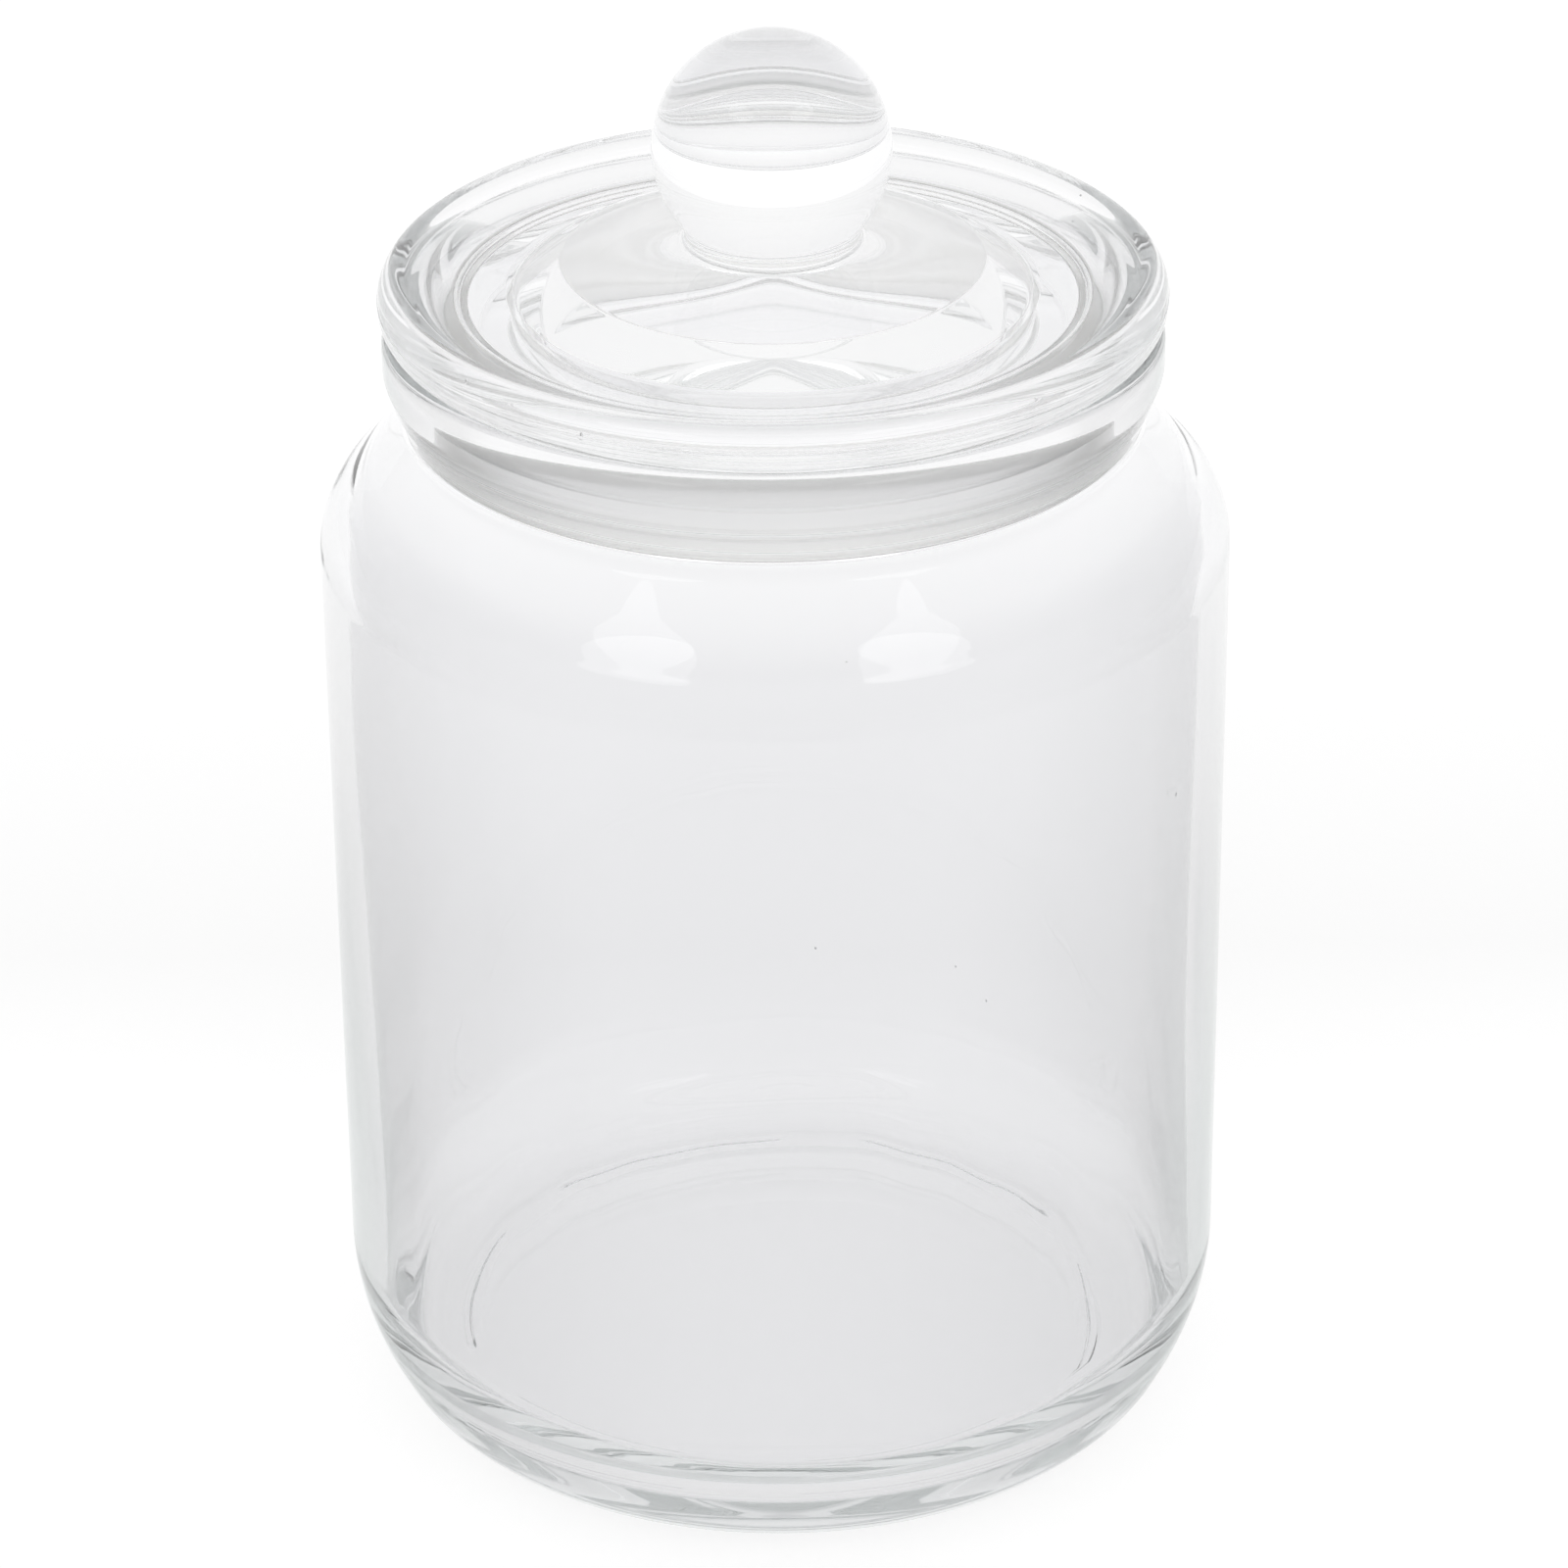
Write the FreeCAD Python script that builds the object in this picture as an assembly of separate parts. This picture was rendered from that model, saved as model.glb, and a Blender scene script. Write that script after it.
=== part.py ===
import FreeCAD, Part
import math
import os

# Glass canister: a blown jar with a rounded collar, a pressed glass lid with a ball knob, and the
# finned ring that seals the lid's plug in the mouth.
# Millimetres. +Z is up, the origin is the middle of the circle that the jar stands on.

# ---- Driving dimensions -------------------------------------------------------------------
BODY_RADIUS = 64.0           # straight outer wall of the jar
WALL = 3.7                   # blown glass in the straight wall
SEAT_HEIGHT = 167.3          # top of the collar, where the lid's flange lies
MOUTH_RADIUS = 47.5          # bore of the neck
KNOB_RADIUS = 16.5           # ball on the lid
KNOB_HEIGHT = 192.0          # centre of the ball

# Jar, outside, from the base up
PAD_HEIGHT = 0.5             # moulded pads that the jar stands on
PAD_WIDTH = 1.7
PAD_RADIUS = 49.0
PAD_COUNT = 6
PAD_SWEEP = 40.0             # degrees that one pad takes up
PAD_START = 53.0             # middle of the first pad, from +X towards +Y
PUSH_UP_RADIUS = 46.0        # the hollow under the base
PUSH_UP_DEPTH = 3.0
PUSH_UP_ROUND = 300.0
HEEL_RADIUS = 56.9           # corner of the base before it is rounded
HEEL_ROUND = 8.9
HEEL_TOP = 15.1              # corner between the heel and the straight wall
HEEL_TOP_ROUND = 35.6
SHOULDER_BOTTOM = 138.3
SHOULDER_ROUND = 11.1
SHOULDER_SLOPE_RADIUS = 57.8
SHOULDER_SLOPE_HEIGHT = 144.5
SHOULDER_SLOPE_ROUND = 33.0
CREASE_RADIUS = 51.4         # waist between the shoulder and the collar
CREASE_HEIGHT = 153.8
CREASE_ROUND = 2.0
COLLAR_RADIUS = 54.3
COLLAR_BOTTOM = 161.0
COLLAR_BOTTOM_ROUND = 3.3
COLLAR_TOP_ROUND = 3.0
MOUTH_ROUND = 2.8            # inner edge of the collar's top

# Jar, inside
FLOOR_EDGE_HEIGHT = 6.8      # floor where it meets the heel
FLOOR_CENTRE_HEIGHT = 9.0
FLOOR_ROUND = 600.0          # the floor is a very flat dome
INNER_HEEL_ROUND = 15.0
INNER_SHOULDER_ROUND = 9.0
BORE_BOTTOM = 151.0          # lower end of the straight bore
BORE_BOTTOM_ROUND = 6.0

# Lid, top side, from the rim in
FLANGE_RADIUS = 54.7
FLANGE_BOTTOM_ROUND = 4.0
FLANGE_TOP = 175.5           # corner before it is rounded; the rim's crest comes out 0.7 lower
FLANGE_TOP_ROUND = 3.3
VALLEY_RADIUS = 36.4         # lowest ring of the dished flange
VALLEY_HEIGHT = 171.8
VALLEY_ROUND = 2.0
STEP_RADIUS = 29.3           # edge of the raised middle
STEP_HEIGHT = 175.9
STEP_ROUND = 3.0
NECK_RADIUS = 12.3           # short neck under the ball
NECK_FOOT_HEIGHT = 178.7
NECK_FOOT_ROUND = 1.2
NECK_TOP_ROUND = 1.2

# Lid, underside
PLUG_RADIUS = 44.4
PLUG_BOTTOM = 150.9
PLUG_FILLET = 0.8            # between the plug and the flange
PLUG_EDGE_ROUND = 1.2
GROOVE_RADIUS = 43.2         # floor of the groove that holds the seal
GROOVE_BOTTOM = 152.9
GROOVE_TOP = 165.1
HOLLOW_MOUTH_RADIUS = 38.8   # the plug is hollow and widens downwards
HOLLOW_TOP_RADIUS = 37.4
HOLLOW_TOP = 165.2
HOLLOW_ROUND = 6.0
HOLLOW_CENTRE = 170.4

# Seal
FIN_COUNT = 4
SEAL_BAND_RADIUS = 45.1      # outside of the band that carries the fins
FIN_ROOT = 1.3
FIN_TIP = 0.6
FIN_LIFT = 0.7               # the tips bend upwards as the lid goes in


# ---- Outlines -----------------------------------------------------------------------------
def point(radius, height):
    """A point of an outline, which lies in the XZ plane."""
    return FreeCAD.Vector(radius, 0, height)


def rounding(before, corner, after, radius):
    """The arc of this radius that rounds a corner of an outline, as start, middle and end."""
    to_before = (before - corner).normalize()
    to_after = (after - corner).normalize()
    half_angle = to_before.getAngle(to_after) / 2
    reach = radius / math.tan(half_angle)
    bisector = (to_before + to_after).normalize()
    centre = corner + bisector * (radius / math.sin(half_angle))
    return corner + to_before * reach, centre - bisector * radius, corner + to_after * reach


def outline(corners):
    """Edges from (radius, height, rounding) corners. The first and last corners stay sharp."""
    edges = []
    pen = point(*corners[0][:2])
    for place in range(1, len(corners) - 1):
        corner = point(*corners[place][:2])
        target = corner
        arc = None
        if corners[place][2] > 0:
            before = point(*corners[place - 1][:2])
            after = point(*corners[place + 1][:2])
            start, middle, end = rounding(before, corner, after, corners[place][2])
            arc = Part.Arc(start, middle, end).toShape()
            target = start
        if pen.distanceToPoint(target) > 1e-6:
            edges.append(Part.LineSegment(pen, target).toShape())
        pen = target
        if arc:
            edges.append(arc)
            pen = end
    edges.append(Part.LineSegment(pen, point(*corners[-1][:2])).toShape())
    return edges


def turned(edges):
    """The solid that closed outline edges sweep about the Z axis."""
    face = Part.Face(Part.Wire(edges))
    return face.revolve(FreeCAD.Vector(0, 0, 0), FreeCAD.Vector(0, 0, 1), 360)


# ---- Jar ----------------------------------------------------------------------------------
def jar_outside():
    """The outer wall, from the middle of the push-up to the top of the collar."""
    return [
        (0, PAD_HEIGHT + PUSH_UP_DEPTH, 0),
        (PUSH_UP_RADIUS / 2, PAD_HEIGHT + PUSH_UP_DEPTH, PUSH_UP_ROUND),
        (PUSH_UP_RADIUS, PAD_HEIGHT, 0),
        (HEEL_RADIUS, PAD_HEIGHT, HEEL_ROUND),
        (BODY_RADIUS, HEEL_TOP, HEEL_TOP_ROUND),
        (BODY_RADIUS, SHOULDER_BOTTOM, SHOULDER_ROUND),
        (SHOULDER_SLOPE_RADIUS, SHOULDER_SLOPE_HEIGHT, SHOULDER_SLOPE_ROUND),
        (CREASE_RADIUS, CREASE_HEIGHT, CREASE_ROUND),
        (COLLAR_RADIUS, COLLAR_BOTTOM, COLLAR_BOTTOM_ROUND),
        (COLLAR_RADIUS, SEAT_HEIGHT, COLLAR_TOP_ROUND),
    ]


def jar_inside():
    """The inner wall, from the collar's inner edge down to the middle of the floor."""
    bore_radius = BODY_RADIUS - WALL
    return [
        (MOUTH_RADIUS, SEAT_HEIGHT, MOUTH_ROUND),
        (MOUTH_RADIUS, BORE_BOTTOM, BORE_BOTTOM_ROUND),
        (bore_radius, SHOULDER_BOTTOM - WALL / 2, INNER_SHOULDER_ROUND),
        (bore_radius, FLOOR_EDGE_HEIGHT, INNER_HEEL_ROUND),
        (PUSH_UP_RADIUS / 2, FLOOR_CENTRE_HEIGHT, FLOOR_ROUND),
        (0, FLOOR_CENTRE_HEIGHT, 0),
    ]


def pad():
    """One moulded pad: a bar bent round the base, with round ends."""
    half = math.radians(PAD_SWEEP / 2)
    inner, outer = PAD_RADIUS - PAD_WIDTH / 2, PAD_RADIUS + PAD_WIDTH / 2

    def at(radius, angle):
        return FreeCAD.Vector(radius * math.cos(angle), radius * math.sin(angle), 0)

    cap = PAD_WIDTH / 2 / PAD_RADIUS
    edges = [
        Part.Arc(at(outer, -half), at(outer, 0), at(outer, half)).toShape(),
        Part.Arc(at(outer, half), at(PAD_RADIUS, half + cap), at(inner, half)).toShape(),
        Part.Arc(at(inner, half), at(inner, 0), at(inner, -half)).toShape(),
        Part.Arc(at(inner, -half), at(PAD_RADIUS, -half - cap), at(outer, -half)).toShape(),
    ]
    return Part.Face(Part.Wire(edges)).extrude(FreeCAD.Vector(0, 0, 2 * PAD_HEIGHT))


def jar():
    """The hollow jar on its ring of pads."""
    corners = jar_outside() + jar_inside()
    edges = outline(corners)
    edges.append(Part.LineSegment(point(*corners[-1][:2]), point(*corners[0][:2])).toShape())
    body = turned(edges)
    pads = []
    for place in range(PAD_COUNT):
        one = pad()
        turn = PAD_START + place * 360 / PAD_COUNT
        one.rotate(FreeCAD.Vector(0, 0, 0), FreeCAD.Vector(0, 0, 1), turn)
        pads.append(one)
    return body.multiFuse(pads).removeSplitter()


# ---- Lid ----------------------------------------------------------------------------------
def knob_edges():
    """The ball and its neck: from the top of the ball down to the neck's foot."""
    centre_to_round = KNOB_RADIUS + NECK_TOP_ROUND
    across = NECK_RADIUS + NECK_TOP_ROUND
    down = math.sqrt(centre_to_round ** 2 - across ** 2)
    touch = KNOB_RADIUS / centre_to_round
    ball_end = point(across * touch, KNOB_HEIGHT - down * touch)
    neck_top = point(NECK_RADIUS, KNOB_HEIGHT - down)
    round_centre = point(across, KNOB_HEIGHT - down)
    to_middle = ((ball_end - round_centre) + (neck_top - round_centre)).normalize()
    ball = Part.Arc(point(0, KNOB_HEIGHT + KNOB_RADIUS), point(KNOB_RADIUS, KNOB_HEIGHT), ball_end)
    neck_round = Part.Arc(ball_end, round_centre + to_middle * NECK_TOP_ROUND, neck_top)
    return [ball.toShape(), neck_round.toShape()], neck_top


def lid():
    """The pressed lid: ball knob, stepped top, thick rounded flange, and a hollow grooved plug."""
    knob, neck_top = knob_edges()
    corners = [
        (neck_top.x, neck_top.z, 0),
        (NECK_RADIUS, NECK_FOOT_HEIGHT, NECK_FOOT_ROUND),
        (STEP_RADIUS, STEP_HEIGHT, STEP_ROUND),
        (VALLEY_RADIUS, VALLEY_HEIGHT, VALLEY_ROUND),
        (FLANGE_RADIUS, FLANGE_TOP, FLANGE_TOP_ROUND),
        (FLANGE_RADIUS, SEAT_HEIGHT, FLANGE_BOTTOM_ROUND),
        (PLUG_RADIUS, SEAT_HEIGHT, PLUG_FILLET),
        (PLUG_RADIUS, GROOVE_TOP, 0),
        (GROOVE_RADIUS, GROOVE_TOP, 0),
        (GROOVE_RADIUS, GROOVE_BOTTOM, 0),
        (PLUG_RADIUS, GROOVE_BOTTOM, 0),
        (PLUG_RADIUS, PLUG_BOTTOM, PLUG_EDGE_ROUND),
        (HOLLOW_MOUTH_RADIUS, PLUG_BOTTOM, PLUG_EDGE_ROUND),
        (HOLLOW_TOP_RADIUS, HOLLOW_TOP, HOLLOW_ROUND),
        (0, HOLLOW_CENTRE, 0),
    ]
    edges = knob + outline(corners)
    top = point(0, KNOB_HEIGHT + KNOB_RADIUS)
    edges.append(Part.LineSegment(point(0, HOLLOW_CENTRE), top).toShape())
    return turned(edges)


# ---- Seal ---------------------------------------------------------------------------------
def seal_ring():
    """The soft ring in the plug's groove: a band whose fins bend up against the bore."""
    pitch = (GROOVE_TOP - GROOVE_BOTTOM) / FIN_COUNT
    corners = [(GROOVE_RADIUS, GROOVE_BOTTOM, 0), (SEAL_BAND_RADIUS, GROOVE_BOTTOM, 0)]
    for fin in range(FIN_COUNT):
        middle = GROOVE_BOTTOM + (fin + 0.5) * pitch
        corners += [
            (SEAL_BAND_RADIUS, middle - FIN_ROOT / 2, 0),
            (MOUTH_RADIUS, middle + FIN_LIFT - FIN_TIP / 2, 0),
            (MOUTH_RADIUS, middle + FIN_LIFT + FIN_TIP / 2, 0),
            (SEAL_BAND_RADIUS, middle + FIN_ROOT / 2, 0),
        ]
    corners += [(SEAL_BAND_RADIUS, GROOVE_TOP, 0), (GROOVE_RADIUS, GROOVE_TOP, 0)]
    corners.append(corners[0])
    return turned(outline(corners))


# ---- Write one STEP file for each piece ---------------------------------------------------
os.makedirs("parts", exist_ok=True)
PIECES = {"jar": jar, "lid": lid, "seal_ring": seal_ring}
for name, make in PIECES.items():
    shape = make()
    shape.exportStep("parts/" + name + ".step")
    box = shape.BoundBox
    print(name, "valid", shape.isValid(), "solids", len(shape.Solids), "faces", len(shape.Faces),
          "cm3", round(shape.Volume / 1000, 1), "z", round(box.ZMin, 2), round(box.ZMax, 2))
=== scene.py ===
# %% [markdown]
# # A glass canister
# This lesson dresses an empty storage jar: a blown glass body, a pressed glass lid with a ball knob,
# and the soft ring that seals one in the other. Clear glass has hardly any colour of its own, so all
# of its looks come from shape: where the wall is thick, where it turns, and what stands around it.
# We build each piece as it is made, by turning an outline about an axis.

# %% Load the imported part
import math
import random

import bmesh
import bpy
from mathutils import Matrix, Vector, noise


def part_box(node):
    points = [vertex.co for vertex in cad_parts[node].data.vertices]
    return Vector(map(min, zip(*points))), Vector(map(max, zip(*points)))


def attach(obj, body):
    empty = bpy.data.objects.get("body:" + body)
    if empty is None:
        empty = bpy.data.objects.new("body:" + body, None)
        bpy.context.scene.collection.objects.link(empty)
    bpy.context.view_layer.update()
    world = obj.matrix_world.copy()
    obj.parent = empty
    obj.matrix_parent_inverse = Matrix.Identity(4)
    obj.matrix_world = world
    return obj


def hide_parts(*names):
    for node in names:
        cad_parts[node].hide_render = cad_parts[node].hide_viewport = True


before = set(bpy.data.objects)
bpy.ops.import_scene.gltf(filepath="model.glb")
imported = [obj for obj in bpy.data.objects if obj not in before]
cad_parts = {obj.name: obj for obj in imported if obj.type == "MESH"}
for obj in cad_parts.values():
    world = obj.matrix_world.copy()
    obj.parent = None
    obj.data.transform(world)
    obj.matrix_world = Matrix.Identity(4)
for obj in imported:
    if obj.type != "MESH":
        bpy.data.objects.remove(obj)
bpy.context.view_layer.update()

print("CAD nodes:", sorted(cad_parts))

# %% [markdown]
# ## Sizes
# The frame gives each node's box, so the big sizes are read from it and not typed in again. What the
# boxes can't tell, such as a wall's thickness or the radius of a rounded edge, is named with the piece
# that has it. `FIT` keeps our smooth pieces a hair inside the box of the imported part.

# %% Sizes read from the frame
MM = 0.001
FIT = 0.9996
CLEARANCE = 0.06 * MM                       # between touching pieces, so that no two surfaces coincide

seat_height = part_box("jar")[1].z
body_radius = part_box("jar")[1].x * FIT
plug_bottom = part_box("lid")[0].z
flange_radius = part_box("lid")[1].x * FIT
total_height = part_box("lid")[1].z
seal_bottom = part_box("seal_ring")[0].z + CLEARANCE
seal_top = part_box("seal_ring")[1].z - CLEARANCE
for label, size in (("body radius", body_radius), ("flange radius", flange_radius),
                    ("seat height", seat_height), ("total height", total_height)):
    print(label, round(size / MM, 1), "mm")

# %% [markdown]
# ## Outlines with rounded corners
# Glass never has a sharp edge: the mould's edges are rounded so that the hot glass fills them. So an
# outline is written as a short list of corners, each one a radius from the axis, a height and a
# rounding, and a function puts an arc in every corner. Straight runs are divided too, since a point
# that isn't there can't be moved when we come to the waves in the wall. The arcs need fine steps:
# smooth shading bends the light as a true curve would, but the light still meets flat faces, and thick
# glass magnifies the places where the two disagree. A tiny rounding needs no such care, so its steps
# have a least length.

# %% Outline function
ARC_STEP = math.radians(2.5)                # how finely a rounded corner is divided
ARC_LONGEST = 1.0 * MM                      # the longest division of an arc
ARC_SHORTEST = 0.04 * MM
RUN_STEP = 4.0 * MM                         # the longest division of a straight run
GUARD = 0.2 * MM                            # short divisions at both ends of a straight run
LEAST_GAP = 0.0001 * MM


def rounded(corners):
    """Points along an outline of (radius, height, rounding) corners, with arcs and runs divided."""
    points = [Vector(corners[0][:2])]

    def run_to(target):
        gap = (target - points[-1]).length
        if gap < LEAST_GAP:
            return
        start = points[-1]
        guard = GUARD / gap if gap > 3 * GUARD else 0
        pieces = math.ceil(gap / RUN_STEP)
        shares = [guard + (1 - 2 * guard) * n / pieces for n in range(pieces + 1)] + [1]
        points.extend(start.lerp(target, share) for share in shares if share > 0)
        if not guard:
            points.pop()

    for place, (radius, height, rounding) in enumerate(corners):
        corner = Vector((radius, height))
        if not rounding:
            run_to(corner)
            continue
        before = (Vector(corners[place - 1][:2]) - corner).normalized()
        after = (Vector(corners[place + 1][:2]) - corner).normalized()
        half = before.angle(after) / 2
        centre = corner + (before + after).normalized() * rounding / math.sin(half)
        start = corner + before * rounding / math.tan(half)
        end = corner + after * rounding / math.tan(half)
        run_to(start)
        sweep = (start - centre).angle_signed(end - centre)
        length = abs(sweep) * rounding
        fine = max(abs(sweep) / ARC_STEP, length / ARC_LONGEST)
        steps = max(2, math.ceil(min(fine, length / ARC_SHORTEST)))
        for n in range(1, steps + 1):
            arm = (start - centre).to_3d()
            arm.rotate(Matrix.Rotation(-sweep * n / steps, 3, "Z"))
            points.append(centre + arm.to_2d())
    return points


print("points in a corner of 10 mm rounding:",
      len(rounded([(0, 0, 0), (0.05, 0, 0.01), (0.05, 0.05, 0)])))

# %% [markdown]
# ## Turning a piece
# A jar mould, a press and a moulding tool for a ring are all round, so one function makes all three
# pieces: it stands an outline on the axis and sweeps it round. Blender's Screw modifier could do the
# same, but with our own loop each point can still be moved a little as it is placed, by a function
# given as `shift`. That is how the waves in the blown wall and the pads under the base come in.

# %% The lathe
SEGMENTS = 180                              # points round each ring


def turn(name, outline, closed=False, shift=None):
    """A mesh turned from an outline. A point on the axis becomes one vertex."""
    vertices = []
    rings = []
    for place, (radius, height) in enumerate(outline):
        if radius < LEAST_GAP:
            rings.append([len(vertices)] * SEGMENTS)
            vertices.append((0, 0, height))
            continue
        rings.append(list(range(len(vertices), len(vertices) + SEGMENTS)))
        for n in range(SEGMENTS):
            angle = 2 * math.pi * n / SEGMENTS
            r, z = shift(radius, height, angle, place) if shift else (radius, height)
            vertices.append((r * math.cos(angle), r * math.sin(angle), z))
    pairs = list(zip(rings, rings[1:]))
    if closed:
        pairs.append((rings[-1], rings[0]))
    faces = []
    for low, high in pairs:
        for n in range(SEGMENTS):
            m = (n + 1) % SEGMENTS
            faces.append(list(dict.fromkeys((low[n], low[m], high[m], high[n]))))
    mesh = bpy.data.meshes.new(name)
    mesh.from_pydata(vertices, [], faces)
    mesh.shade_smooth()
    piece = bpy.data.objects.new(name, mesh)
    bpy.context.scene.collection.objects.link(piece)
    bpy.context.view_layer.objects.active = piece
    bpy.ops.object.mode_set(mode="EDIT")
    bpy.ops.mesh.select_all(action="SELECT")
    bpy.ops.mesh.normals_make_consistent(inside=False)
    bpy.ops.object.mode_set(mode="OBJECT")
    print(name, len(vertices), "points,", len(faces), "faces")
    return piece


def smooth_step(value, low, high):
    """0 below low, 1 above high, and an even S between."""
    t = min(max((value - low) / (high - low), 0), 1)
    return t * t * (3 - 2 * t)


print("each ring has", SEGMENTS, "points")

# %% [markdown]
# ## Helpers for materials
# Colours are written as the hex codes a paint program shows, and turned into the linear values that
# Cycles counts in. One function adds any node, sets its sockets by name and plugs in what feeds it.

# %% Material helpers
def colour(hex_code):
    """Linear colour with alpha from an sRGB hex code such as '#E8EEEA'."""
    channels = [int(hex_code[i:i + 2], 16) / 255 for i in (1, 3, 5)]
    linear = [c / 12.92 if c <= 0.04045 else ((c + 0.055) / 1.055) ** 2.4 for c in channels]
    return (*linear, 1.0)


def add_node(material, kind, settings=None, links=None):
    """Adds a node, sets its input sockets or properties by name, and links inputs to given outputs."""
    node = material.node_tree.nodes.new(kind)
    for name, value in (settings or {}).items():
        if isinstance(name, int) or name in node.inputs:
            node.inputs[name].default_value = value
        else:
            setattr(node, name, value)
    for name, output in (links or {}).items():
        material.node_tree.links.new(output, node.inputs[name])
    return node


def add_ramp(material, stops, factor):
    """Adds a colour ramp with (position, colour) stops, read at a factor."""
    ramp = add_node(material, "ShaderNodeValToRGB", links={"Fac": factor})
    elements = ramp.color_ramp.elements
    while len(elements) < len(stops):
        elements.new(0.5)
    for element, (position, tone) in zip(elements, stops):
        element.position = position
        element.color = tone
    return ramp


def grey(level):
    """A neutral colour of a linear brightness."""
    return (level, level, level, 1.0)


def new_material(name):
    """An empty node material."""
    material = bpy.data.materials.new(name)
    material.use_nodes = True
    material.node_tree.nodes.clear()
    return material


print("a mid grey of #808080 is", round(colour("#808080")[0], 3), "in linear light")

# %% [markdown]
# ## Soda-lime glass
# Bottles, jars and window panes are soda-lime glass: smooth, colourless to the eye, with an index of
# refraction of 1.52. A Principled shader with all of its weight on transmission bends and mirrors the
# light. The iron left in the sand takes a little red away over long paths through the glass, which is
# a matter of depth and not of surface, so it goes into Volume Absorption.
#
# Clear glass in a real room has dark edges, because there it bends and mirrors in whatever is dark
# beyond the pale set. Our table and surround are pale everywhere, so there is nothing dark to find. So
# the glass gets painted shade in its colour instead: a grey tint that stands in for those dark
# reflections and grows towards the edges of a piece. Layer Weight says how far a surface turns away
# from the ray, and a ramp turns that into the tint. The lid has little of it, the same all over. The
# jar has all of it on the collar and on the lower wall, less and less towards the shoulder, and none on
# the base. The blown part also keeps a trace of painted shade head-on, which makes the wall a touch
# greyer than the table, standing in for the jar's own shade on the table behind it.
#
# Neither glass has a bump. Glass shows every dent twice, by reflection and by what it bends, so its
# unevenness is put into the shape.

# %% Soda-lime glass
SODA_LIME_IOR = 1.52
DEPTH_TINT = "#CFD5D4"
JAR_DENSITY = 3.2
LID_DENSITY = 1.1
# the painted shade's tint, from none of it to the most
PAINTED_SHADE_TINTS = ((0.0, "#FFFFFF"), (0.1, "#F5F5F6"), (0.25, "#F5F5F6"), (0.5, "#E4E4E5"),
              (0.66, "#D1D1D2"), (1.0, "#97A19F"))
# how much painted shade the lid's edges get, the same all over
LID_PAINTED_SHADE = 0.2
# a trace of painted shade head-on on the blown wall, for the jar's own shade on the table behind it
JAR_PAINTED_SHADE_HEAD_ON = 0.1
# how much painted shade the wall's edges have at each height
JAR_PAINTED_SHADE_BY_HEIGHT = ((0.0, 1.0), (50 * MM, 1.0), (150 * MM, 0.4))
# painted shade on the collar's edges, coming in between these two heights
COLLAR_PAINTED_SHADE = 1.0
COLLAR_PAINTED_SHADE_FROM = 156 * MM
COLLAR_PAINTED_SHADE_FULL = 162 * MM
# painted shade on the wall only away from the axis
JAR_PAINTED_SHADE_FROM = 56 * MM                     # none nearer to the axis, so none on the base
JAR_PAINTED_SHADE_FULL = 62 * MM
BLOWN_FROM = 158 * MM                       # pressed above this, and blown below the next
BLOWN_TO = 136 * MM


def soda_lime_glass(name, density):
    """Clear glass, tinted with depth. Returns its surface too, for painted shade to be laid on it."""
    glass = new_material(name)
    surface = add_node(glass, "ShaderNodeBsdfPrincipled", {
        "Roughness": 0.0, "IOR": SODA_LIME_IOR, "Transmission Weight": 1.0})
    depth = add_node(glass, "ShaderNodeVolumeAbsorption", {
        "Color": colour(DEPTH_TINT), "Density": density})
    add_node(glass, "ShaderNodeOutputMaterial", links={
        "Surface": surface.outputs["BSDF"], "Volume": depth.outputs["Volume"]})
    return glass, surface


def paint_edge_shade(glass, surface, painted_shade_amount):
    """Paints shade into a surface's colour, from a ramp read at how much of it there is."""
    painted_shade_ramp = add_ramp(glass, [(depth, colour(tint)) for depth, tint in PAINTED_SHADE_TINTS], painted_shade_amount)
    glass.node_tree.links.new(painted_shade_ramp.outputs["Color"], surface.inputs["Base Color"])


pressed_glass, pressed_surface = soda_lime_glass("soda_lime_glass_pressed", LID_DENSITY)
# the lid's painted shade, darker towards its edges
lid_slant = add_node(pressed_glass, "ShaderNodeLayerWeight", {"Blend": 0.5})
lid_painted_shade = add_node(pressed_glass, "ShaderNodeMath", {"operation": "MULTIPLY", 1: LID_PAINTED_SHADE}, {
    0: lid_slant.outputs["Facing"]})
paint_edge_shade(pressed_glass, pressed_surface, lid_painted_shade.outputs["Value"])

blown_glass, blown_surface = soda_lime_glass("soda_lime_glass_blown", JAR_DENSITY)
# the jar's painted shade: darker towards its edges on the collar and the lower wall, and a trace head-on
jar_slant = add_node(blown_glass, "ShaderNodeLayerWeight", {"Blend": 0.5})
jar_place = add_node(blown_glass, "ShaderNodeTexCoord")
jar_axes = add_node(blown_glass, "ShaderNodeSeparateXYZ", links={"Vector": jar_place.outputs["Object"]})
part_height = add_node(blown_glass, "ShaderNodeMapRange", {"From Max": seat_height}, {
    "Value": jar_axes.outputs["Z"]})
by_height = add_ramp(
    blown_glass, [(height / seat_height, grey(share)) for height, share in JAR_PAINTED_SHADE_BY_HEIGHT],
    part_height.outputs["Result"])
flat_place = add_node(blown_glass, "ShaderNodeVectorMath", {"operation": "MULTIPLY", 1: (1, 1, 0)}, {
    0: jar_place.outputs["Object"]})
off_axis = add_node(blown_glass, "ShaderNodeVectorMath", {"operation": "LENGTH"}, {
    0: flat_place.outputs["Vector"]})
off_base = add_node(blown_glass, "ShaderNodeMapRange", {
    "interpolation_type": "SMOOTHSTEP", "From Min": JAR_PAINTED_SHADE_FROM, "From Max": JAR_PAINTED_SHADE_FULL}, {
    "Value": off_axis.outputs["Value"]})
wall_share = add_node(blown_glass, "ShaderNodeMath", {"operation": "MULTIPLY"}, {
    0: by_height.outputs["Color"], 1: off_base.outputs["Result"]})
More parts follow.
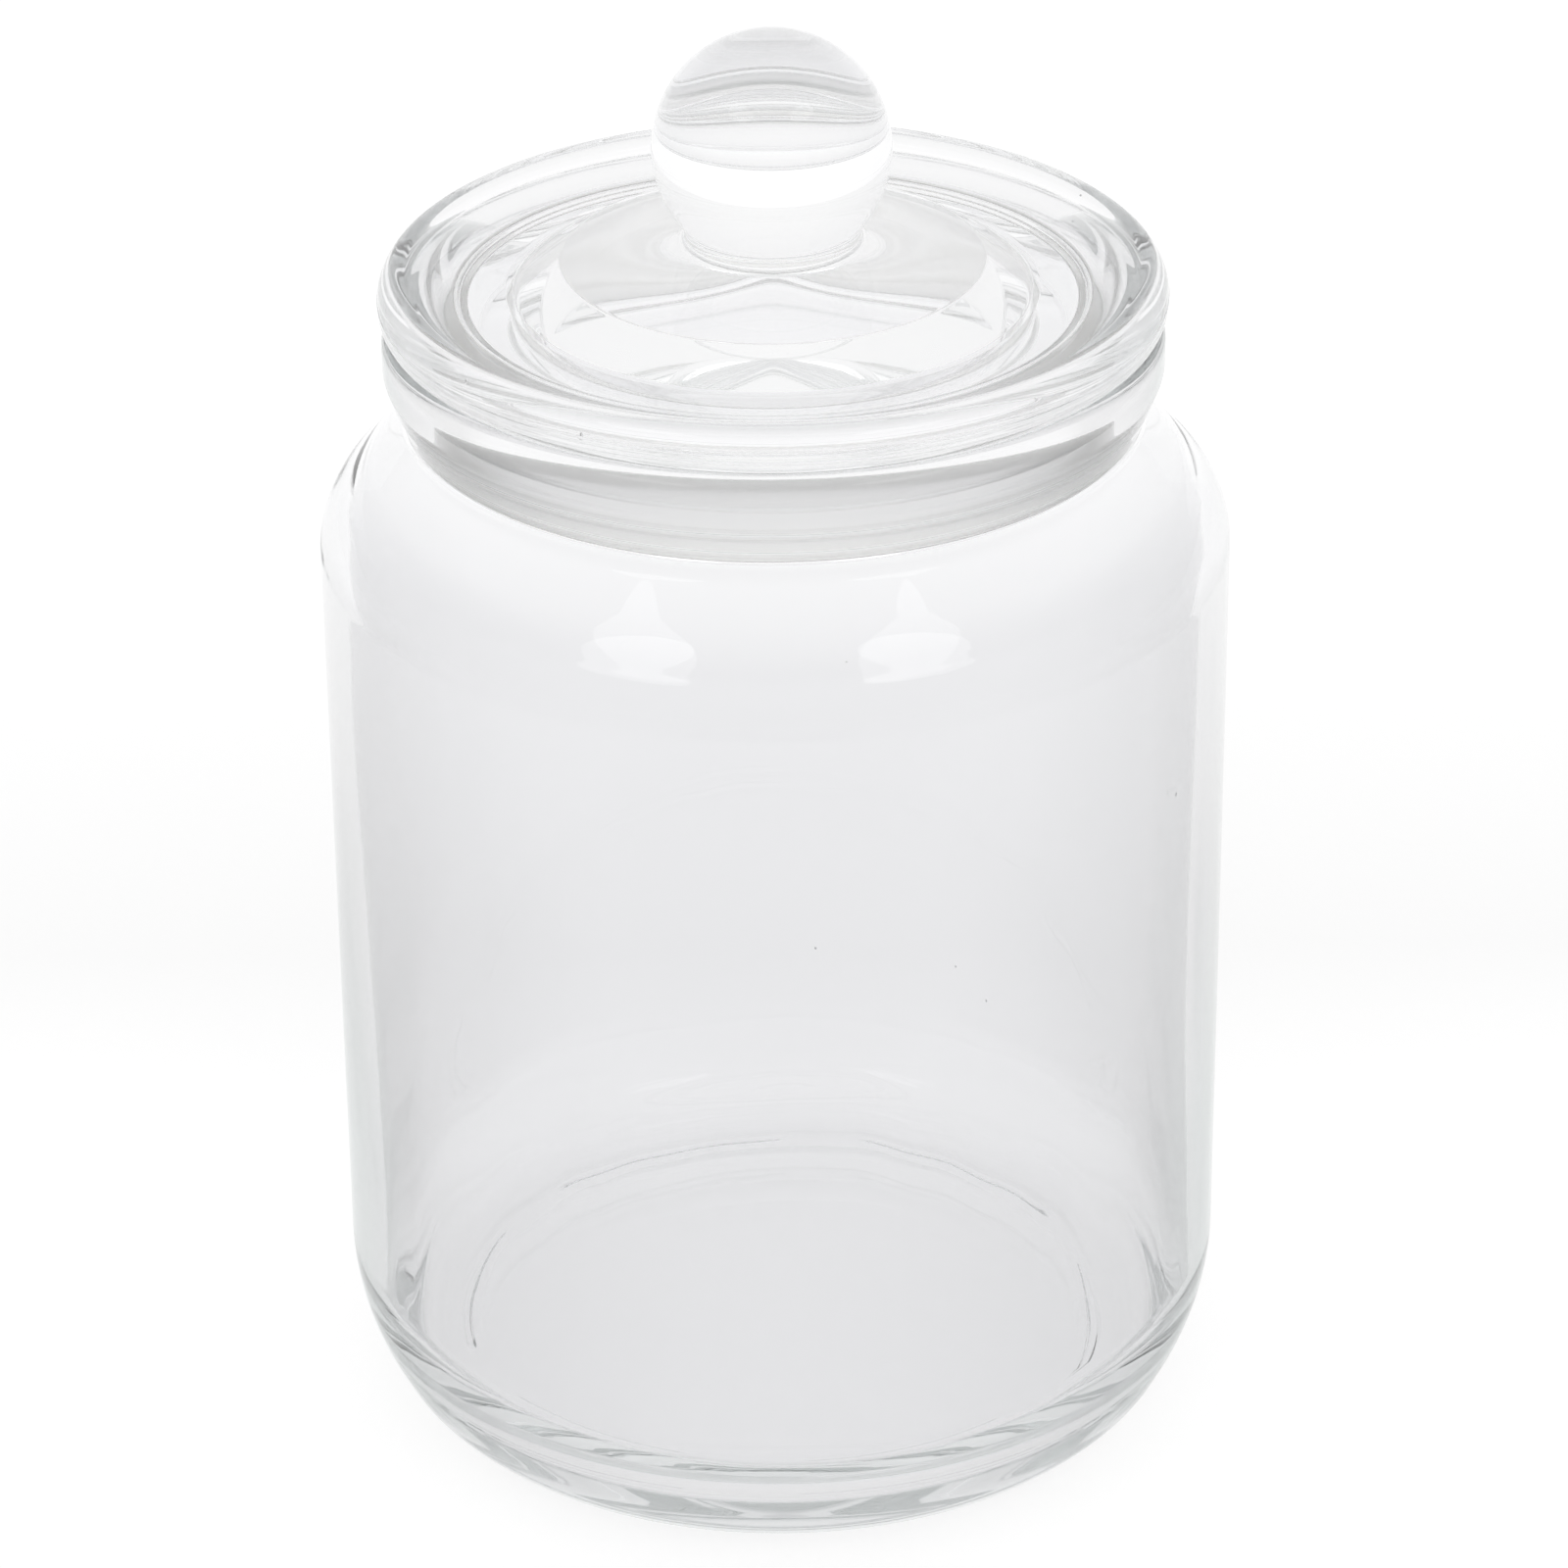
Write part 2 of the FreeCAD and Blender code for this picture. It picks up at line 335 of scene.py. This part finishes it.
collar_share = add_node(blown_glass, "ShaderNodeMapRange", {
    "interpolation_type": "SMOOTHSTEP", "From Min": COLLAR_PAINTED_SHADE_FROM, "From Max": COLLAR_PAINTED_SHADE_FULL,
    "To Max": COLLAR_PAINTED_SHADE}, {"Value": jar_axes.outputs["Z"]})
painted_shade_share = add_node(blown_glass, "ShaderNodeMath", {"operation": "MAXIMUM"}, {
    0: wall_share.outputs["Value"], 1: collar_share.outputs["Result"]})
blown_part = add_node(blown_glass, "ShaderNodeMapRange", {
    "interpolation_type": "SMOOTHSTEP", "From Min": BLOWN_FROM, "From Max": BLOWN_TO,
    "To Max": JAR_PAINTED_SHADE_HEAD_ON}, {"Value": jar_axes.outputs["Z"]})
jar_painted_shade = add_node(blown_glass, "ShaderNodeMath", {"operation": "MULTIPLY_ADD"}, {
    0: jar_slant.outputs["Facing"], 1: painted_shade_share.outputs["Value"], 2: blown_part.outputs["Result"]})
paint_edge_shade(blown_glass, blown_surface, jar_painted_shade.outputs["Value"])
print("glasses:", blown_glass.name, pressed_glass.name)

# %% [markdown]
# ## Frosted polyethylene
# The seal is natural low-density polyethylene, the milky soft plastic of bottle stoppers. A ring this
# thin lets nearly all light through and only scatters it, so it is rough transmission. Its index is
# set low, since it lies tight between two glass walls with hardly any air to bend the light at. A
# small bump gives it the fine matt grain that a spark-eroded mould leaves.

# %% Frosted polyethylene
GRAIN_SIZE = 1.2 * MM
GRAIN_DEPTH = 0.01 * MM
SEAL_IOR = 1.12                             # lower than the plastic's own, see above
SEAL_ROUGHNESS = 0.7

frosted_polyethylene = new_material("polyethylene_moulded_frosted")
grain_place = add_node(frosted_polyethylene, "ShaderNodeTexCoord")
grain = add_node(frosted_polyethylene, "ShaderNodeTexNoise", {"Scale": 1 / GRAIN_SIZE, "Detail": 2.0}, {
    "Vector": grain_place.outputs["Object"]})
grain_relief = add_node(frosted_polyethylene, "ShaderNodeBump", {"Distance": GRAIN_DEPTH}, {
    "Height": grain.outputs["Fac"]})
seal_surface = add_node(frosted_polyethylene, "ShaderNodeBsdfPrincipled", {
    "Base Color": colour("#F7F7F6"), "Roughness": SEAL_ROUGHNESS, "IOR": SEAL_IOR,
    "Transmission Weight": 1.0}, {"Normal": grain_relief.outputs["Normal"]})
add_node(frosted_polyethylene, "ShaderNodeOutputMaterial", links={
    "Surface": seal_surface.outputs["BSDF"]})
print("seal:", frosted_polyethylene.name)

# %% [markdown]
# ## The jar
# A wide-mouthed jar is pressed to a thick cup first and then blown out against a mould. The mould
# shapes the outside, so that is true and even: a heel, a straight body, a full shoulder, a waist and
# a thick collar. The inside follows as the glass stretches, so it swells and thins in slow waves.
# The base is pushed up in the middle, and six narrow pads stand under it on a circle, so that the hot
# jar touches the conveyor in as few places as it can. They are what draws the arcs seen in the base.

# %% The jar
WALL = 3.7 * MM
MOUTH_RADIUS = 47.5 * MM
FOOT = 0.5 * MM                             # the height the pads lift the rest of the base to
PAD_RADIUS = 49.0 * MM
PAD_WIDTH = 1.7 * MM
PAD_EDGE = PAD_WIDTH / 5                    # over which a pad's side comes down
PAD_FACE_STEPS = 6
PAD_SPACING = math.radians(60)
PAD_MIDDLE = math.radians(53)
PAD_HALF_SWEEP = math.radians(20)
PAD_END = math.radians(1.5)
WAVE_DEPTH = 0.3 * MM
WAVE_LENGTH = 45 * MM
WAVES_ROUND = 2                             # how fast the noise for the waves runs round the jar
RIB_DEPTH = 0.14 * MM
RIB_LENGTH = 160 * MM
RIBS_ROUND = 7
UNEVEN_FROM, UNEVEN_FULL = 12 * MM, 30 * MM         # the unevenness comes in above the floor
UNEVEN_LESS, UNEVEN_END = 128 * MM, 146 * MM        # and goes out below the neck

pad_inner = PAD_RADIUS - PAD_WIDTH / 2
pad_outer = PAD_RADIUS + PAD_WIDTH / 2
jar_outside = [
    (0, 3.5 * MM, 0),                               # middle of the push-up
    (23 * MM, 3.5 * MM, 300 * MM),                  # its very flat curve
    (46 * MM, FOOT, 0.8 * MM),                      # its edge
    (pad_inner, FOOT, 0),
] + [
    (pad_inner + PAD_WIDTH * n / PAD_FACE_STEPS, FOOT, 0) for n in range(1, PAD_FACE_STEPS)
] + [
    (pad_outer, FOOT, 0),
    (56.9 * MM, FOOT, 8.9 * MM),                    # heel
    (body_radius, 15.1 * MM, 35.6 * MM),            # heel into wall
    (body_radius, 138.3 * MM, 11.1 * MM),           # wall into shoulder
    (57.8 * MM, 144.5 * MM, 33 * MM),               # slope of the shoulder
    (51.4 * MM, 153.8 * MM, 2 * MM),                # waist
    (54.3 * MM, 161 * MM, 3.3 * MM),                # collar
    (54.3 * MM, seat_height - CLEARANCE, 3 * MM),
    (MOUTH_RADIUS, seat_height - CLEARANCE, 2.8 * MM),
]
jar_inside = [
    (MOUTH_RADIUS, 151 * MM, 6 * MM),               # foot of the bore
    (body_radius - WALL, 138.3 * MM - WALL / 2, 9 * MM),
    (body_radius - WALL, 6.8 * MM, 15 * MM),        # floor into wall
    (23 * MM, 9 * MM, 600 * MM),                    # the floor is a very flat dome
    (0, 9 * MM, 0),
]
jar_outline = rounded(jar_outside + jar_inside)
mouth_place = max(range(len(jar_outline)), key=lambda place: jar_outline[place].y)


def jar_shift(radius, height, angle, place):
    """Moves a point down where a pad is, and in or out where the blown inside wall is uneven."""
    if place < mouth_place:
        off_middle = (angle - PAD_MIDDLE + PAD_SPACING / 2) % PAD_SPACING - PAD_SPACING / 2
        along = smooth_step(PAD_HALF_SWEEP - abs(off_middle), 0, PAD_END)
        across = smooth_step(PAD_WIDTH / 2 - abs(radius - PAD_RADIUS), 0, PAD_EDGE)
        return radius, height - (FOOT - CLEARANCE) * along * across
    around = Vector((math.cos(angle), math.sin(angle), 0))
    slow = noise.noise(around * WAVES_ROUND + Vector((0, 0, height / WAVE_LENGTH)))
    upright = noise.noise(around * RIBS_ROUND + Vector((0, 0, height / RIB_LENGTH)))
    uneven = smooth_step(height, UNEVEN_FROM, UNEVEN_FULL) * smooth_step(-height, -UNEVEN_END, -UNEVEN_LESS)
    return radius + uneven * (WAVE_DEPTH * slow + RIB_DEPTH * upright), height


jar = turn("canister_jar", jar_outline, shift=jar_shift)
jar.data.materials.append(blown_glass)

# %% [markdown]
# ## Seeds
# Small bubbles of gas, which glassmakers call seeds, stay behind in the melt. Each one is a closed
# little shell inside the glass with its faces turned inward, since air is what lies within it. They
# are stretched upward, the way the wall was stretched. Chance with a fixed start places them, so the
# same jar comes out each time.

# %% Seeds in the glass
SEED_LEAST = 0.12 * MM
SEED_MOST = 0.22 * MM
SEED_STRETCH = 1.7
JAR_SEEDS = 5
JAR_SEEDS_LOW, JAR_SEEDS_HIGH = 20 * MM, 130 * MM


def add_seeds(piece, count, radius, low, high, start):
    """Puts bubbles into the glass of a piece, at one radius and between two heights."""
    chance = random.Random(start)
    mesh = bmesh.new()
    mesh.from_mesh(piece.data)
    for _ in range(count):
        angle = chance.uniform(0, 2 * math.pi)
        middle = Vector((radius * math.cos(angle), radius * math.sin(angle), chance.uniform(low, high)))
        shape = Matrix.Translation(middle) @ Matrix.Diagonal((1, 1, SEED_STRETCH, 1))
        made = bmesh.ops.create_icosphere(
            mesh, subdivisions=2, radius=chance.uniform(SEED_LEAST, SEED_MOST), matrix=shape)
        faces = {face for vertex in made["verts"] for face in vertex.link_faces}
        for face in faces:
            face.smooth = True
        bmesh.ops.reverse_faces(mesh, faces=list(faces))
    mesh.to_mesh(piece.data)
    mesh.free()
    print(count, "seeds in", piece.name)


add_seeds(jar, JAR_SEEDS, body_radius - WALL / 2, JAR_SEEDS_LOW, JAR_SEEDS_HIGH, start=4)

# %% [markdown]
# ## The lid
# The lid is pressed in one piece: a plunger makes the hollow plug underneath, and a split ring mould
# makes the flange, the sunk valley, the low dome and the ball. Where the two halves of the tool meet,
# at the widest line of the flange, a fine raised line is left all round. The valley has a narrow flat
# floor with two crisp edges, and the dome ends in one more. The ball flows into its neck by a small
# fillet. Round the plug runs a groove that holds the seal.

# %% The lid
KNOB_RADIUS = 16.5 * MM
KNOB_HEIGHT = total_height - KNOB_RADIUS
KNOB_STEP = math.radians(2)
NECK_RADIUS = 12.3 * MM
NECK_ROUND = 1.2 * MM
NECK_ROUND_STEPS = 6
PLUG_RADIUS = 44.4 * MM
GROOVE_RADIUS = 43.2 * MM
GROOVE_BOTTOM = 152.9 * MM
GROOVE_TOP = 165.1 * MM
GROOVE_EDGE = 0.2 * MM
PARTING_HEIGHT = 171.2 * MM
PARTING_RISE = 0.09 * MM
PARTING_HALF = 0.3 * MM
LID_SEEDS = 4
LID_SEEDS_RADIUS = 51 * MM                  # within the flange
LID_SEEDS_LOW, LID_SEEDS_HIGH = 169.5 * MM, 172.5 * MM


def ball_outline():
    """The ball from its top down to where a small fillet leads into the neck."""
    across = NECK_RADIUS + NECK_ROUND
    down = math.sqrt((KNOB_RADIUS + NECK_ROUND) ** 2 - across ** 2)
    lowest = math.atan2(down, across)
    sweep = math.pi / 2 + lowest
    steps = math.ceil(sweep / KNOB_STEP)
    points = [Vector((0, KNOB_HEIGHT + KNOB_RADIUS))]
    for n in range(1, steps + 1):
        angle = math.pi / 2 - sweep * n / steps
        points.append(Vector((KNOB_RADIUS * math.cos(angle), KNOB_HEIGHT + KNOB_RADIUS * math.sin(angle))))
    for n in range(1, NECK_ROUND_STEPS + 1):
        angle = math.pi - lowest + lowest * n / NECK_ROUND_STEPS
        points.append(Vector((across + NECK_ROUND * math.cos(angle),
                              KNOB_HEIGHT - down + NECK_ROUND * math.sin(angle))))
    return points


ball = ball_outline()
rim_radius = flange_radius - PARTING_RISE
lid_corners = [
    (ball[-1].x, ball[-1].y, 0),
    (NECK_RADIUS, 178.7 * MM, 1.2 * MM),            # foot of the ball's neck
    (29.3 * MM, 175.9 * MM, 1.5 * MM),              # edge of the dome
    (35.9 * MM, 171.85 * MM, 0.3 * MM),             # floor of the valley
    (36.9 * MM, 171.85 * MM, 0.3 * MM),
    (rim_radius, 175.5 * MM, 3.3 * MM),             # crest of the flange
    (rim_radius, PARTING_HEIGHT + PARTING_HALF, 0),
    (flange_radius, PARTING_HEIGHT, 0.15 * MM),     # parting line
    (rim_radius, PARTING_HEIGHT - PARTING_HALF, 0),
    (rim_radius, seat_height, 3 * MM),              # underside, which lies on the collar
    (PLUG_RADIUS, seat_height, 0.8 * MM),
    (PLUG_RADIUS, GROOVE_TOP, GROOVE_EDGE),
    (GROOVE_RADIUS, GROOVE_TOP, GROOVE_EDGE),
    (GROOVE_RADIUS, GROOVE_BOTTOM, GROOVE_EDGE),
    (PLUG_RADIUS, GROOVE_BOTTOM, GROOVE_EDGE),
    (PLUG_RADIUS, plug_bottom, 1.2 * MM),
    (38.8 * MM, plug_bottom, 1.2 * MM),             # mouth of the plug's hollow
    (37.4 * MM, 165.2 * MM, 6 * MM),
    (0, 170.4 * MM, 0),                             # ceiling of the hollow
]
lid = turn("canister_lid", ball + rounded(lid_corners)[1:])
lid.data.materials.append(pressed_glass)
add_seeds(lid, LID_SEEDS, LID_SEEDS_RADIUS, LID_SEEDS_LOW, LID_SEEDS_HIGH, start=2)

# %% [markdown]
# ## The seal
# A thin sleeve sits in the groove of the plug, and four soft fins stand out from it. They lean up a
# little as the lid goes in, and their tips touch the mouth of the jar all round. Through the thick
# neck of the jar we see them as fine lines across a milky band.

# %% The seal
FIN_COUNT = 4
SLEEVE_RADIUS = 45.1 * MM
FIN_ROOT = 1.3 * MM
FIN_TIP = 0.6 * MM
FIN_LIFT = 0.7 * MM
FIN_EDGE = 0.25 * MM

sleeve_inner = GROOVE_RADIUS + CLEARANCE
fin_radius = MOUTH_RADIUS - CLEARANCE
pitch = (seal_top - seal_bottom) / FIN_COUNT
seal_corners = [(sleeve_inner, seal_bottom, 0), (SLEEVE_RADIUS, seal_bottom, 0)]
for fin in range(FIN_COUNT):
    middle = seal_bottom + (fin + 0.5) * pitch
    seal_corners += [
        (SLEEVE_RADIUS, middle - FIN_ROOT / 2, FIN_EDGE),
        (fin_radius, middle + FIN_LIFT - FIN_TIP / 2, FIN_EDGE),
        (fin_radius, middle + FIN_LIFT + FIN_TIP / 2, FIN_EDGE),
        (SLEEVE_RADIUS, middle + FIN_ROOT / 2, FIN_EDGE),
    ]
seal_corners += [(SLEEVE_RADIUS, seal_top, 0), (sleeve_inner, seal_top, 0)]
seal = turn("canister_seal", rounded(seal_corners), closed=True)
seal.data.materials.append(frosted_polyethylene)

# %% [markdown]
# ## Standing in for the CAD
# Each piece takes the place of one CAD node and keeps still with the root body.

# %% Stand the pieces in for the CAD nodes
for piece, node, slot in (
    (jar, "jar", "jar_glass"),
    (lid, "lid", "lid_glass"),
    (seal, "seal_ring", "seal"),
):
    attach(piece, "root")
    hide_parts(node)
    print(piece.name, "stands for", node)

# %% [markdown]
# ## A plain pale table
# Clear glass is all surroundings, so the table matters as much as the jar. It is plain, matt and pale.
# Part of its light is its own glow, which makes up for the light that the jar bends on to the table,
# since Cycles finds hardly any of that. Right behind the jar it dips a little, as in the jar's shade.

# %% The table
TABLE_REACH = 6.0                           # metres from the middle to each edge
TABLE_GREY = "#808080"
GLOW_FROM, GLOW_TO = -0.06, 0.40            # from the front of the foot to well behind the jar
GLOW_STOPS = ((0.0, 0.84), (0.24, 0.84), (0.38, 0.76), (1.0, 0.86))

table_mesh = bpy.data.meshes.new("table")
table_corners = [(x * TABLE_REACH, y * TABLE_REACH, 0) for x, y in ((-1, -1), (1, -1), (1, 1), (-1, 1))]
table_mesh.from_pydata(table_corners, [], [(0, 1, 2, 3)])
table = bpy.data.objects.new("table", table_mesh)
bpy.context.scene.collection.objects.link(table)

table_paint = new_material("table_top_matt_white")
where = add_node(table_paint, "ShaderNodeTexCoord")
axes = add_node(table_paint, "ShaderNodeSeparateXYZ", links={"Vector": where.outputs["Object"]})
backward = add_node(table_paint, "ShaderNodeMapRange", {"From Min": GLOW_FROM, "From Max": GLOW_TO}, {
    "Value": axes.outputs["Y"]})
glow = add_ramp(table_paint, [(place, grey(level)) for place, level in GLOW_STOPS],
                backward.outputs["Result"])
paint = add_node(table_paint, "ShaderNodeBsdfPrincipled", {
    "Base Color": colour(TABLE_GREY), "Roughness": 0.9, "Specular IOR Level": 0.0,
    "Emission Color": (1, 1, 1, 1)}, {"Emission Strength": glow.outputs["Color"]})
add_node(table_paint, "ShaderNodeOutputMaterial", links={"Surface": paint.outputs["BSDF"]})
table_mesh.materials.append(table_paint)
print("table", 2 * TABLE_REACH, "m wide")

# %% [markdown]
# ## Camera
# A long lens from a little under a metre keeps the sides of the jar nearly upright. It looks down on
# the lid at about 28 degrees, with the smallest lean to one side.

# %% Camera
AIM = Vector((0.9 * MM, 0, 93.35 * MM))
DISTANCE = 899 * MM
LOOK_DOWN = math.radians(28.36)
LEAN = math.radians(-0.52)
FOCAL_LENGTH = 143.4                        # of the lens, in mm, on a sensor this wide
SENSOR_WIDTH = 36

camera_data = bpy.data.cameras.new("camera")
camera_data.lens = FOCAL_LENGTH
camera_data.sensor_width = SENSOR_WIDTH
camera = bpy.data.objects.new("camera", camera_data)
bpy.context.scene.collection.objects.link(camera)
camera.location = AIM + DISTANCE * Vector((0, -math.cos(LOOK_DOWN), math.sin(LOOK_DOWN)))
looking = (AIM - camera.location).to_track_quat("-Z", "Y").to_matrix()
camera.rotation_euler = (looking @ Matrix.Rotation(LEAN, 3, "Z")).to_euler()
bpy.context.scene.camera = camera
print("camera", round(camera.location.z / MM), "mm above the table")

# %% [markdown]
# ## Lights
# A pale surround stands in for the white tent round the jar, and two softboxes stand in front, one on
# each side. Each is only about as bright as the tent, so its reflection on the shoulder stays pale.

# %% Lights
SOFTBOX_BEARING = math.radians(45)
SOFTBOX_ELEVATION = math.radians(54)
SOFTBOX_REACH = 1.4
SOFTBOX_WIDTH = 0.55
SOFTBOX_LENGTH = 0.3
SOFTBOX_POWER = 0.4
TENT_GREY = 0.99


def softbox(name, bearing):
    """An oval area light at a bearing from the front, aimed at the middle of the jar."""
    data = bpy.data.lights.new(name, "AREA")
    data.shape = "ELLIPSE"
    data.size = SOFTBOX_WIDTH
    data.size_y = SOFTBOX_LENGTH
    data.energy = SOFTBOX_POWER
    lamp = bpy.data.objects.new(name, data)
    bpy.context.scene.collection.objects.link(lamp)
    level = SOFTBOX_REACH * math.cos(SOFTBOX_ELEVATION)
    lamp.location = (level * math.sin(bearing), -level * math.cos(bearing),
                     SOFTBOX_REACH * math.sin(SOFTBOX_ELEVATION))
    lamp.rotation_euler = (AIM - lamp.location).to_track_quat("-Z", "Y").to_euler()
    print(name, "at", [round(value, 2) for value in lamp.location])


softbox("softbox_left", -SOFTBOX_BEARING)
softbox("softbox_right", SOFTBOX_BEARING)

tent = bpy.data.worlds.new("white_tent")
tent.use_nodes = True
tent.node_tree.nodes["Background"].inputs["Color"].default_value = grey(TENT_GREY)
bpy.context.scene.world = tent

# %% [markdown]
# ## Rendering glass
# Light that gets into a thick rim or heel can run round inside it like a whisper round a dome, mirrored
# again and again by the inner side of the surface before it finds a way out. Cycles counts each of
# these as a glossy bounce, and where it gives up the glass turns black. So all three limits are set
# far above what Blender starts with.

# %% Render settings
BOUNCES = 48

scene = bpy.context.scene
scene.view_settings.view_transform = "Standard"
scene.cycles.max_bounces = BOUNCES
scene.cycles.transmission_bounces = BOUNCES
scene.cycles.glossy_bounces = BOUNCES
print("bounces", scene.cycles.max_bounces)
